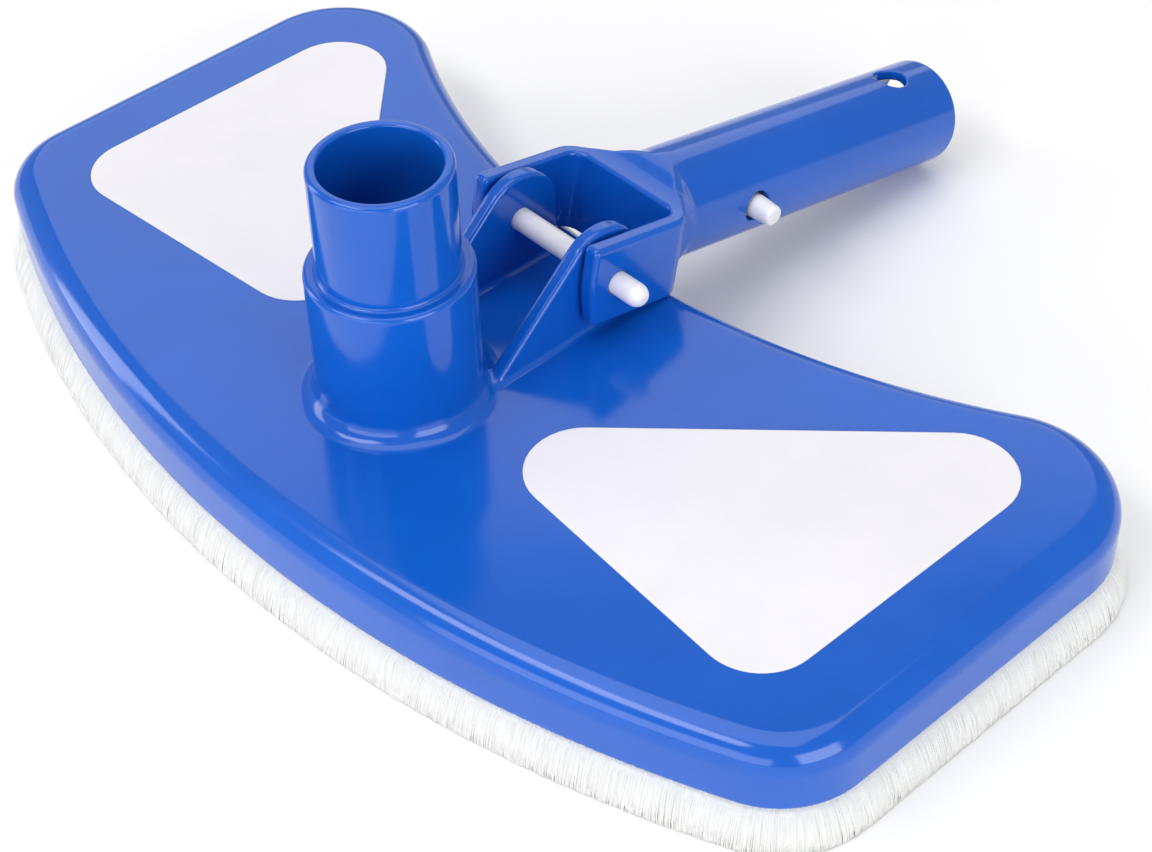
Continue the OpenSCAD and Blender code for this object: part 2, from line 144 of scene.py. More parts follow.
def head_distance(x, y, z):
    y = y - axis_y
    q = np.hypot(x, y)
    o = outline_distance(x, y)
    plate = meet(meet(o, z - top_z, SHOULDER_R), seam_z - z, EDGE_R)
    hollow = meet(o + WALL, z - (top_z - DECK), SHOULDER_R - WALL)
    plate = cut(plate, hollow, 0.3)
    lower = meet(q - lower_r, z - ledge_z, RIM_R)
    upper = meet(q - upper_r, z - rim_z, RIM_R)
    column = np.maximum(join(lower, upper, 0.9), top_z - 2.0 - z)
    d = join(plate, column, foot_fillet)
    half = (ear_hi[0] - ear_lo[0]) / 2
    ear = np.maximum(ear_profile(y, z), top_z - 2.0 - z)
    ear = meet(ear, np.abs(np.abs(x) - ear_lo[0] - half) - half, 1.15)
    d = join(d, ear, 1.6)
    d = np.minimum(d, meet(q - throat_r - THROAT_WALL, np.maximum(z - top_z + 1.0, seam_z + 1.0 - z), 0.4))
    d = cut(d, q - throat_r, 0.8)
    pin = np.hypot(y - (pin_y - axis_y), z - pin_z) - pin_r - 0.05
    return cut(d, pin, 0.25)


handle_hi = box_mm("swivel_handle")[1]
FORK_HALF = handle_hi[0]
CHEEK_T, FORK_UP, FORK_FRONT, WINDOW_END, WINDOW_R = 4.2, 10.5, 8.5, 20.9, 3.5
BORE_R, BORE_FROM = tube_r - 2.7, 34.0
SLOT_FROM, SLOT_TO, SLOT_LEVEL = 46.0, 108.0, 10.0
BUTTON_GAP = 0.9
button_lo, button_hi = box_mm("clip_button_right")
BUTTON_R = (button_hi[1] - button_lo[1]) / 2
BUTTON_AT = float(np.dot((button_lo + button_hi) / 2 - [0, pin_y, pin_z], tube_axis))


def blended(table, width=1.6):
    """A smooth curve through a table of (along, value): straight stretches with rounded corners."""
    t = np.linspace(-14.0, 46.0, 1201)
    v = np.interp(t, *np.array(table).T)
    k = int(width / (t[1] - t[0])) | 1
    for _ in range(2):
        v = np.convolve(np.pad(v, k // 2, mode="edge"), np.ones(k) / k, "valid")
    return lambda a: np.interp(a, t, v)


# half width, half height and corner radius along the handle, from the fork to the round tube
neck_w = blended([(-14, FORK_HALF), (18.9, FORK_HALF), (21.4, FORK_HALF - 1.2), (27.2, tube_r + 0.1),
                  (30, tube_r), (46, tube_r)])
neck_h = blended([(-14, FORK_UP), (23, FORK_UP), (26, FORK_UP + 0.7), (30, tube_r - 0.7), (33.5, tube_r),
                  (46, tube_r)], 3.0)
neck_c = blended([(-14, 1.5), (22, 1.5), (25.5, 3.0), (29.5, 8.5), (32.5, tube_r), (46, tube_r)], 2.0)


def handle_distance(x, a, u):
    """The handle in its own frame: the pin at the origin, a along the tube, u upwards."""
    ax = np.abs(x)
    q = np.hypot(x, u)
    w, h, c = neck_w(a), neck_h(a), neck_c(a)
    ex, ez = ax - (w - c), np.abs(u) - (h - c)
    body = np.hypot(np.maximum(ex, 0), np.maximum(ez, 0)) + np.minimum(np.maximum(ex, ez), 0) - c
    front = meet(-FORK_FRONT - a, -0.9645 * (a + FORK_FRONT) - 0.264 * (u + 1.0), 1.2)
    body = meet(body, front, 1.3)
    window = meet(meet(ax - (FORK_HALF - CHEEK_T), a - WINDOW_END, WINDOW_R), np.abs(u) - 30.0, 0.1)
    body = cut(body, window, 1.0)
    body = meet(body, a - tube_end, 1.5)
    body = cut(body, np.maximum(q - BORE_R, BORE_FROM - a), 0.7)
    slot = np.maximum(np.maximum(SLOT_FROM - a, a - SLOT_TO), u + SLOT_LEVEL)
    body = cut(body, slot, 0.4)
    hole = np.maximum(np.hypot(x, a - hole_at) - hole_r, -u)
    body = cut(body, hole, 0.5)
    body = cut(body, np.hypot(a - BUTTON_AT, u) - BUTTON_R - BUTTON_GAP, 0.45)
    return cut(body, np.hypot(a, u) - pin_r - 0.08, 0.35)


# ---------- meshes from distances ----------

def steps(*stops):
    """Grid lines: (start, end, spacing) stretches joined end to end."""
    out = []
    for start, end, gap in stops:
        n = max(int(round((end - start) / gap)), 1)
        out += list(np.linspace(start, end, n, endpoint=False))
    return np.array(out + [stops[-1][1]], np.float32)


def net(f, xs, ys, zs):
    """Quads on the zero level of f, with each point moved onto it and its exact normal."""
    F = np.empty((len(xs), len(ys), len(zs)), np.float32)
    Y, Z = np.meshgrid(ys, zs, indexing="ij")
    for i in range(0, len(xs), 12):
        X = xs[i:i + 12, None, None]
        F[i:i + 12] = f(X + 0 * Y[None], Y[None] + 0 * X, Z[None] + 0 * X)
    inside = F < 0
    count = np.zeros(tuple(n - 1 for n in F.shape), np.int8)
    corners = [(i, j, k) for i in (0, 1) for j in (0, 1) for k in (0, 1)]
    view = lambda A, c: A[c[0]:A.shape[0] - 1 + c[0], c[1]:A.shape[1] - 1 + c[1], c[2]:A.shape[2] - 1 + c[2]]
    for c in corners:
        count += view(inside, c)
    cells = np.argwhere((count > 0) & (count < 8))
    index = np.full(count.shape, -1, np.int64)
    index[tuple(cells.T)] = np.arange(len(cells))
    total, hits = np.zeros((len(cells), 3)), np.zeros(len(cells))
    axes = (xs.astype(float), ys.astype(float), zs.astype(float))
    for c in corners:
        for d in range(3):
            if c[d]:
                continue
            e = list(c)
            e[d] = 1
            A, B = cells + c, cells + e
            fa, fb = F[tuple(A.T)].astype(float), F[tuple(B.T)].astype(float)
            s = (fa < 0) != (fb < 0)
            t = np.where(s, fa / np.where(s, fa - fb, 1), 0)
            pa = np.stack([axes[m][A[:, m]] for m in range(3)], 1)
            pb = np.stack([axes[m][B[:, m]] for m in range(3)], 1)
            total += np.where(s[:, None], pa + t[:, None] * (pb - pa), 0)
            hits += s
    P = total / hits[:, None]

    def slope(P, h=0.01):
        g = np.empty_like(P)
        for d in range(3):
            step = np.zeros(3)
            step[d] = h
            hi, lo = P + step, P - step
            g[:, d] = (f(hi[:, 0], hi[:, 1], hi[:, 2]) - f(lo[:, 0], lo[:, 1], lo[:, 2])) / (2 * h)
        return g

    start = P.copy()
    for _ in range(5):
        g = slope(P)
        v = f(P[:, 0], P[:, 1], P[:, 2])
        step = -(v / np.maximum((g * g).sum(1), 0.2))[:, None] * g
        P = P + np.clip(step, -0.4, 0.4)
    far = np.linalg.norm(P - start, axis=1) > 1.0
    P[far] = start[far]
    N = slope(P)
    N /= np.maximum(np.linalg.norm(N, axis=1), 1e-9)[:, None]
    faces = []
    for d in range(3):
        e, g = (d + 1) % 3, (d + 2) % 3
        lo = [slice(None)] * 3
        hi = [slice(None)] * 3
        lo[d], hi[d] = slice(0, -1), slice(1, None)
        edge = inside[tuple(lo)] != inside[tuple(hi)]
        E = np.argwhere(edge)
        ok = (E[:, e] > 0) & (E[:, g] > 0) & (E[:, e] < F.shape[e] - 1) & (E[:, g] < F.shape[g] - 1)
        E = E[ok]
        quad = []
        for oe, og in ((-1, -1), (0, -1), (0, 0), (-1, 0)):
            C = E.copy()
            C[:, e] += oe
            C[:, g] += og
            quad.append(index[tuple(C.T)])
        quad = np.stack(quad, 1)
        flip = ~inside[tuple(E.T)]
        quad[flip] = quad[flip][:, ::-1]
        faces.append(quad)
    return P, np.concatenate(faces), N


def make(name, P, faces, normals=None):
    """A mesh object from points in mm in the row frame."""
    me = bpy.data.meshes.new(name)
    P = np.asarray(P, float) / 1000
    if isinstance(faces, np.ndarray):
        me.vertices.add(len(P))
        me.vertices.foreach_set("co", P.astype(np.float32).ravel())
        k = faces.shape[1]
        me.loops.add(faces.size)
        me.loops.foreach_set("vertex_index", faces.astype(np.int32).ravel())
        me.polygons.add(len(faces))
        me.polygons.foreach_set("loop_start", np.arange(0, faces.size, k, dtype=np.int32))
        me.update(calc_edges=True)
        me.validate()
    else:
        me.from_pydata(P.tolist(), [], faces)
        me.update()
    me.polygons.foreach_set("use_smooth", np.ones(len(me.polygons), bool))
    if normals is not None and len(me.vertices) == len(normals):
        me.normals_split_custom_set_from_vertices(normals.tolist())
    ob = bpy.data.objects.new(name, me)
    bpy.context.scene.collection.objects.link(ob)
    return ob


def to_row(P):
    """Handle frame to row frame, in mm."""
    c, s = math.cos(droop), math.sin(droop)
    x, a, u = P[:, 0], P[:, 1], P[:, 2]
    return np.stack([x, pin_y + a * c + u * s, pin_z - a * s + u * c], 1)


def turn_to_row(N):
    c, s = math.cos(droop), math.sin(droop)
    x, a, u = N[:, 0], N[:, 1], N[:, 2]
    return np.stack([x, a * c + u * s, -a * s + u * c], 1)


def lathe(name, profile, origin, axis, place=None, n=96, loop=False):
    """Closed solid of revolution: profile is (distance along the axis, radius) in mm, from end to end.
    With loop, its last ring joins its first."""
    axis = Vector(axis).normalized()
    side = axis.orthogonal().normalized()
    other = axis.cross(side)
    P, faces, rings = [], [], []
    for t, r in profile:
        centre = Vector(origin) + axis * t
        if r < 1e-6:
            rings.append([len(P)])
            P.append(centre)
            continue
        rings.append(list(range(len(P), len(P) + n)))
        for i in range(n):
            w = 2 * math.pi * i / n
            P.append(centre + (side * math.cos(w) + other * math.sin(w)) * r)
    for a, b in zip(rings, rings[1:] + (rings[:1] if loop else [])):
        for i in range(max(len(a), len(b))):
            j = (i + 1) % n
            if len(a) == 1:
                faces.append((a[0], b[j], b[i]))
            elif len(b) == 1:
                faces.append((a[i], a[j], b[0]))
            else:
                faces.append((a[i], a[j], b[j], b[i]))
    P = np.array([list(p) for p in P])
    return make(name, place(P) if place else P, faces)


# ---------- materials ----------

class Paint:
    """A small helper that adds nodes to one material."""

    def __init__(self, name):
        self.mat = bpy.data.materials.new(name)
        self.mat.use_nodes = True
        self.tree = self.mat.node_tree
        self.bsdf = self.tree.nodes["Principled BSDF"]
        self.where = self.add("ShaderNodeTexCoord").outputs["Object"]

    def add(self, kind, **values):
        node = self.tree.nodes.new(kind)
        for key, value in values.items():
            if hasattr(node, key):
                setattr(node, key, value)
            else:
                node.inputs[key].default_value = value
        return node

    def link(self, a, b):
        self.tree.links.new(a, b)

    def noise(self, scale, detail=3.0, rough=0.5, stretch=None):
        """stretch is a scale along each axis, then a turn about each axis if it is given."""
        node = self.add("ShaderNodeTexNoise", Scale=scale, Detail=detail, Roughness=rough)
        source = self.where
        if stretch:
            mapping = self.add("ShaderNodeMapping")
            mapping.inputs["Scale"].default_value = stretch[:3]
            if len(stretch) > 3:
                mapping.inputs["Rotation"].default_value = stretch[3:]
            self.link(source, mapping.inputs["Vector"])
            source = mapping.outputs["Vector"]
        self.link(source, node.inputs["Vector"])
        return node.outputs["Fac"]

    def ramp(self, source, stops):
        node = self.add("ShaderNodeValToRGB")
        el = node.color_ramp.elements
        while len(el) < len(stops):
            el.new(0.5)
        for e, (at, colour) in zip(el, stops):
            e.position = at
            e.color = (*colour, 1.0)
        self.link(source, node.inputs["Fac"])
        return node.outputs["Color"]

    def span(self, source, lo, hi, at=(0.3, 0.7)):
        node = self.add("ShaderNodeMapRange")
        for key, value in zip(("From Min", "From Max", "To Min", "To Max"), (*at, lo, hi)):
            node.inputs[key].default_value = value
        self.link(source, node.inputs["Value"])
        return node.outputs["Result"]

    def mix(self, fac, a, b, blend="MIX"):
        node = self.tree.nodes.new("ShaderNodeMix")
        node.data_type = "RGBA"
        node.blend_type = blend
        for socket, value in ((node.inputs[0], fac), (node.inputs[6], a), (node.inputs[7], b)):
            if hasattr(value, "is_linked"):
                self.link(value, socket)
            elif isinstance(value, (tuple, list)):
                socket.default_value = (*value, 1.0)
            else:
                socket.default_value = value
        return node.outputs[2]

    def math(self, op, a, b):
        node = self.add("ShaderNodeMath", operation=op)
        for socket, value in zip(node.inputs, (a, b)):
            if hasattr(value, "is_linked"):
                self.link(value, socket)
            else:
                socket.default_value = value
        return node.outputs[0]

    def bump(self, *layers):
        """layers are (height socket, distance in mm, strength)."""
        last = None
        for height, distance, strength in layers:
            node = self.add("ShaderNodeBump")
            node.inputs["Strength"].default_value = strength
            node.inputs["Distance"].default_value = distance / 1000
            self.link(height, node.inputs["Height"])
            if last:
                self.link(last, node.inputs["Normal"])
            last = node.outputs["Normal"]
        self.link(last, self.bsdf.inputs["Normal"])
        return last

    def set(self, **values):
        for key, value in values.items():
            socket = self.bsdf.inputs[key.replace("_", " ")]
            if hasattr(value, "is_linked"):
                self.link(value, socket)
            else:
                socket.default_value = value


def blue_plastic(name, deep, light, gloss):
    p = Paint(name)
    cloud = p.noise(26.0, 4.0, 0.55)
    flow = p.noise(90.0, 5.0, 0.6, stretch=(1.0, 0.35, 1.0))
    colour = p.ramp(cloud, [(0.32, deep), (0.72, light)])
    colour = p.mix(p.span(flow, 0.0, 0.22), colour, tuple(v * 0.86 for v in deep))
    scuff = p.noise(420.0, 2.0, 0.4, stretch=(1.0, 9.0, 1.0, 0.0, 0.0, 0.5))
    rough = p.math("ADD", p.span(cloud, gloss, gloss + 0.05), p.span(scuff, 0.0, 0.14, (0.63, 0.86)))
    p.set(Base_Color=colour, Roughness=rough, IOR=1.53)
    p.bump((p.noise(120.0, 2.0, 0.4), 0.05, 0.16), (p.noise(1500.0, 2.0, 0.5), 0.005, 0.22),
           (scuff, 0.004, 0.20))
    return p.mat


def white_film():
    p = Paint("label_film")
    cloud = p.noise(60.0, 4.0, 0.6)
    colour = p.ramp(cloud, [(0.3, (0.765, 0.75, 0.795)), (0.7, (0.80, 0.785, 0.825))])
    speck = p.noise(900.0, 3.0, 0.6)
    colour = p.mix(p.span(speck, 0.0, 0.10, (0.60, 0.80)), colour, (0.62, 0.62, 0.68))
    p.set(Base_Color=colour, Roughness=p.span(cloud, 0.50, 0.62), IOR=1.46)
    p.bump((p.noise(55.0, 2.0, 0.5), 0.08, 0.25), (p.noise(2200.0, 3.0, 0.6), 0.006, 0.35))
    return p.mat


def nylon():
    p = Paint("white_nylon")
    cloud = p.noise(220.0, 3.0, 0.5)
    colour = p.ramp(cloud, [(0.3, (0.74, 0.74, 0.78)), (0.75, (0.84, 0.84, 0.875))])
    drag = p.noise(800.0, 3.0, 0.5, stretch=(0.12, 1.0, 1.0))
    colour = p.mix(p.span(drag, 0.0, 0.14, (0.58, 0.8)), colour, (0.55, 0.56, 0.62))
    p.set(Base_Color=colour, Roughness=p.span(cloud, 0.30, 0.42), IOR=1.53, Subsurface_Weight=0.18,
          Subsurface_Radius=(0.9, 0.9, 0.9), Subsurface_Scale=0.0012)
    p.bump((drag, 0.012, 0.35), (p.noise(1700.0, 2.0, 0.5), 0.006, 0.3))
    return p.mat


def bristle_nylon():
    p = Paint("bristle_nylon")
    split = p.add("ShaderNodeSeparateXYZ")
    p.link(p.where, split.inputs[0])
    height = p.span(split.outputs["Z"], 0.0, 1.0, (0.0, seam_z / 1000))
    # colour by height: slightly darker and warmer at the tips, brightest in the middle, and darker and bluish
    # towards the top, which is painted shade under the shell and painted blue reflection from the shell
    tone_and_painted_shade = p.ramp(height, [(0.0, (0.90, 0.905, 0.88)), (0.45, (0.95, 0.955, 0.94)),
                           (0.80, (0.92, 0.945, 0.955)), (1.0, (0.86, 0.905, 0.95))])
    strand = p.noise(700.0, 2.0, 0.5)
    colour = p.mix(p.span(strand, 0.0, 0.25, (0.45, 0.85)), tone_and_painted_shade, (0.84, 0.86, 0.85))
    p.set(Base_Color=colour, Roughness=p.span(strand, 0.38, 0.55), IOR=1.45, Subsurface_Weight=0.3,
          Subsurface_Radius=(1.0, 1.0, 1.0), Subsurface_Scale=0.001)
    p.bump((p.noise(3000.0, 2.0, 0.5, stretch=(1.0, 1.0, 0.15)), 0.01, 0.3))
    return p.mat


def strip_plastic():
    p = Paint("strip_plastic")
    cloud = p.noise(120.0, 3.0, 0.5)
    grain = p.noise(1600.0, 3.0, 0.6)
    p.set(Base_Color=p.ramp(cloud, [(0.3, (0.66, 0.69, 0.68)), (0.7, (0.75, 0.775, 0.76))]),
          Roughness=p.span(grain, 0.42, 0.58), IOR=1.5)
    p.bump((grain, 0.01, 0.4))
    return p.mat


def plated_steel():
    p = Paint("plated_steel")
    cloud = p.noise(500.0, 4.0, 0.6)
    lines = p.noise(1200.0, 3.0, 0.6, stretch=(1.0, 1.0, 6.0))
    colour = p.ramp(cloud, [(0.35, (0.56, 0.57, 0.58)), (0.7, (0.70, 0.705, 0.71))])
    colour = p.mix(p.span(p.noise(260.0, 5.0, 0.7), 0.0, 0.5, (0.62, 0.8)), colour, (0.30, 0.28, 0.25))
    p.set(Base_Color=colour, Metallic=1.0, Roughness=p.span(lines, 0.24, 0.42))
    p.bump((lines, 0.01, 0.4))
    return p.mat


def cast_metal():
    p = Paint("cast_metal")
    lumps = p.noise(500.0, 6.0, 0.65)
    cloud = p.noise(90.0, 3.0, 0.5)
    p.set(Base_Color=p.ramp(cloud, [(0.3, (0.23, 0.235, 0.245)), (0.7, (0.34, 0.345, 0.355))]),
          Metallic=0.85, Roughness=p.span(lumps, 0.5, 0.75))
    p.bump((lumps, 0.08, 0.7))
    return p.mat


SHELL_BLUE = blue_plastic("blue_abs", (0.003, 0.090, 0.480), (0.004, 0.104, 0.540), 0.10)
SATIN_BLUE = blue_plastic("blue_abs_satin", (0.006, 0.072, 0.40), (0.008, 0.085, 0.46), 0.34)
FILM, NYLON, BRISTLE = white_film(), nylon(), bristle_nylon()
STRIP, STEEL, CAST = strip_plastic(), plated_steel(), cast_metal()


def finish_piece(ob, body, slot, material, *nodes):
    ob.data.materials.clear()
    ob.data.materials.append(material)
    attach(ob, body)
    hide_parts(*nodes)
    return ob


# ---------- head moulding and handle ----------

coarse = 1.0
P, faces, N = net(
    head_distance,
    steps((-half_w - 1.5, -half_w + 9, 0.6 * coarse), (-half_w + 9, -26, 1.1 * coarse),
          (-26, 26, 0.45 * coarse), (26, half_w - 9, 1.1 * coarse), (half_w - 9, half_w + 1.5, 0.6 * coarse)),
    steps((shell_lo[1] - 1.5, axis_y - 26, 0.75 * coarse), (axis_y - 26, ear_hi[1] + 3, 0.45 * coarse),
          (ear_hi[1] + 3, shell_hi[1] + 1.5, 0.75 * coarse)),
    steps((seam_z - 1.2, top_z - 7.5, 0.6 * coarse), (top_z - 7.5, ear_hi[2] + 1, 0.45 * coarse),
          (ear_hi[2] + 1, ledge_z - 2.5, 0.9 * coarse), (ledge_z - 2.5, ledge_z + 2.0, 0.4 * coarse),
          (ledge_z + 2.0, rim_z - 2.5, 0.9 * coarse), (rim_z - 2.5, rim_z + 1.2, 0.35 * coarse)))
finish_piece(make("head_moulding", P, faces, N), "head", "blue_abs", SHELL_BLUE,
             "top_shell", "hose_connector", "hinge_ear_left", "hinge_ear_right")

P, faces, N = net(
    handle_distance,
    steps((-FORK_HALF - 1.2, FORK_HALF + 1.2, 0.5 * coarse)),
    steps((-FORK_FRONT - 1.2, 42, 0.5 * coarse), (42, 64, 0.6 * coarse), (64, 108, 0.9 * coarse),
          (108, tube_end + 1.2, 0.5 * coarse)),
    steps((-tube_r - 1.2, tube_r + 1.2, 0.5 * coarse)))
finish_piece(make("handle_moulding", to_row(P), faces, turn_to_row(N)), "handle", "blue_abs", SHELL_BLUE,
             "swivel_handle")


# ---------- labels ----------

# sharp corners of the +X label before rounding, about the connector's axis
LABEL_CORNERS = np.array([(19.15, -0.3), (120.6, -9.2), (120.6, 99.2)])
LABEL_R = 13.5


def rounded_triangle(shrink, n=14):
    """Outline of the +X label, pulled in by shrink."""
    r = LABEL_R
    pts = []
    for i in range(3):
        p, q, s = LABEL_CORNERS[i - 1], LABEL_CORNERS[i], LABEL_CORNERS[(i + 1) % 3]
        u, v = (p - q) / np.linalg.norm(p - q), (s - q) / np.linalg.norm(s - q)
        half = math.acos(float(u @ v)) / 2
        w = (u + v) / np.linalg.norm(u + v)
        centre = q + w * r / math.sin(half)
        t0 = q + u * r / math.tan(half) - centre
        t1 = q + v * r / math.tan(half) - centre
        a0, a1 = math.atan2(t0[1], t0[0]), math.atan2(t1[1], t1[0])
        while a1 < a0:
            a1 += 2 * math.pi
        for k in range(n + 1):
            w0 = a0 + (a1 - a0) * k / n
            pts.append(centre + (r - shrink) * np.array([math.cos(w0), math.sin(w0)]))
    return np.array(pts)


def label(name, node, sign):
    """A thin film with a soft raised edge and a flat face."""
    rows = [(0.0, -0.02), (0.0, 0.16), (0.04, 0.24), (0.14, 0.295), (0.34, 0.30), (1.2, 0.285), (3.0, 0.28)]
    P, faces = [], []
    for shrink, up in rows:
        for x, y in rounded_triangle(shrink):
            P.append((sign * x, y + axis_y, top_z + up))
    n = len(rounded_triangle(0))
    for j in range(len(rows) - 1):
        for i in range(n):
            k = (i + 1) % n
            q = (j * n + i, j * n + k, (j + 1) * n + k, (j + 1) * n + i)
            faces.append(q if sign > 0 else q[::-1])
    last = [(len(rows) - 1) * n + i for i in range(n)]
    first = list(range(n))
    faces.append(last if sign > 0 else last[::-1])
    faces.append(first[::-1] if sign > 0 else first)
    ob = make(name, P, faces)
    return finish_piece(ob, "head", "label_white", FILM, node)


label("label_film_right", "label_right", 1)
label("label_film_left", "label_left", -1)


# ---------- hinge pin, cap and spring clip ----------

tip = pin_hi[0]
neck = pin_lo[0]
profile = [(neck, 0.0)] + [(neck + 0.5 - 0.5 * math.cos(w), pin_r - 0.5 + 0.5 * math.sin(w))
                           for w in np.linspace(0, math.pi / 2, 5)]
profile += [(t, pin_r) for t in np.linspace(neck + 3, tip - 3.4, 12)]
profile += [(tip - 3.0, pin_r)]
profile += [(tip - 3.0 + 3.0 * math.sin(w), 0.55 + (pin_r - 0.55) * math.cos(w))
            for w in np.linspace(0.12, math.pi / 2, 9)]
profile += [(tip, 0.0)]
finish_piece(lathe("pin_rod", profile, (0, pin_y, pin_z), (1, 0, 0)), "head", "white_nylon", NYLON,
             "hinge_pin")

cap_r = (cap_hi[2] - cap_lo[2]) / 2
c0, c1 = cap_lo[0], cap_hi[0]
profile = [(c1, pin_r + 0.02), (c1, cap_r - 0.3), (c1 - 0.1, cap_r - 0.09), (c1 - 0.3, cap_r),
           (c0 + 1.0, cap_r), (c0 + 0.6, cap_r - 0.1), (c0 + 0.25, cap_r - 0.38), (c0 + 0.05, cap_r - 0.85),
           (c0, cap_r - 1.2), (c0, pin_r + 0.5), (c0 + 0.2, pin_r + 0.1), (c0 + 0.5, pin_r + 0.02)]
finish_piece(lathe("cap_ring", profile[::-1], (0, pin_y, pin_z), (1, 0, 0), loop=True), "head", "white_nylon",
             NYLON, "pin_cap")

ARM_X = BORE_R - 2.4
BUTTON_OUT = 5.6
for side, sign in (("left", -1), ("right", 1)):
    end = tube_r + BUTTON_OUT
    prof = [(ARM_X, 0.0), (ARM_X, BUTTON_R), (tube_r, BUTTON_R), (end - 0.9, BUTTON_R - 0.36)]
    prof += [(end - 0.9 + 0.9 * math.sin(w), BUTTON_R - 1.2 + 0.84 * math.cos(w))
             for w in np.linspace(0.2, 1.57, 6)]
    prof += [(end, 0.9), (end - 0.05, 0.5), (end - 0.05, 0.0)]
    place = (lambda P, s=sign: to_row(np.stack([P[:, 0] * s, P[:, 1], P[:, 2]], 1)))
    button = lathe(f"button_{side}", prof, (0, BUTTON_AT, 0), (1, 0, 0), place, 72)
    if sign < 0:
        button.data.flip_normals()
    finish_piece(button, f"clip_{side}", "white_nylon", NYLON, f"clip_button_{side}")


def soften(ob, width):
    """A bevel on a carried-over CAD node, on edges sharper than 40 degrees, with hardened normals."""
    bevel = ob.modifiers.new("bevel", "BEVEL")
    bevel.width = width / 1000
    bevel.segments = 2
    bevel.limit_method = "ANGLE"
    bevel.angle_limit = math.radians(40)
    bevel.harden_normals = True


# ---------- bristles ----------

def run_points(part, gap):
    """Points and outward normals along one run of the outline, every gap mm, about the connector's axis."""
    def arc(c, r, a0, a1, inward=False):
        n = max(int(abs(a1 - a0) * r / gap), 2)
        w = np.linspace(a0, a1, n)
        d = np.stack([np.cos(w), np.sin(w)], 1)
        return np.array(c) + r * d, -d if inward else d
    half_pi = math.pi / 2
    if part == "front":
        pieces = [arc((-fc[0], fc[1]), FRONT_CR, math.pi, 3 * half_pi - front_a),
                  arc((0, front_c), FRONT_R, -half_pi - front_a, -half_pi + front_a),
                  arc(fc, FRONT_CR, -half_pi + front_a, 0)]
    elif part == "rear":
        pieces = [arc(rc, REAR_CR, 0, half_pi + rear_a),
                  arc((0, rear_c), REAR_R, -half_pi + rear_a, -half_pi - rear_a, True),
                  arc((-rc[0], rc[1]), REAR_CR, half_pi - rear_a, math.pi)]
    else:
        s = 1 if part == "right" else -1
        y = np.linspace(fc[1], rc[1], int((rc[1] - fc[1]) / gap))
        pieces = [(np.stack([np.full_like(y, s * half_w), y], 1), np.stack([np.full_like(y, s), 0 * y], 1))]
    pts = np.concatenate([p for p, _ in pieces])
    nor = np.concatenate([n for _, n in pieces])
    seg = np.r_[0, np.cumsum(np.linalg.norm(np.diff(pts, axis=0), axis=1))]
    keep = np.r_[True, np.diff(seg) > 1e-6]
    return pts[keep], nor[keep], seg[keep]


SPLAY = 3.8
ROOT_Z = 11.4
# outer and inner faces of the bristle band: offset from the shell's wall at each height
OUTER = np.array([(0.0, SPLAY), (1.6, 3.62), (3.4, 3.05), (5.2, 2.3), (7.0, 1.4), (8.6, 0.35), (9.5, -0.5),
                  (10.1, -1.5), (12.4, -2.8)])
INNER = np.array([(0.0, -3.2), (4.5, -5.2), (9.0, -6.4), (12.4, -6.4)])


def outer(z):
    return np.interp(z, OUTER[:, 0], OUTER[:, 1])


def inner(z):
    return np.interp(z, INNER[:, 0], INNER[:, 1])


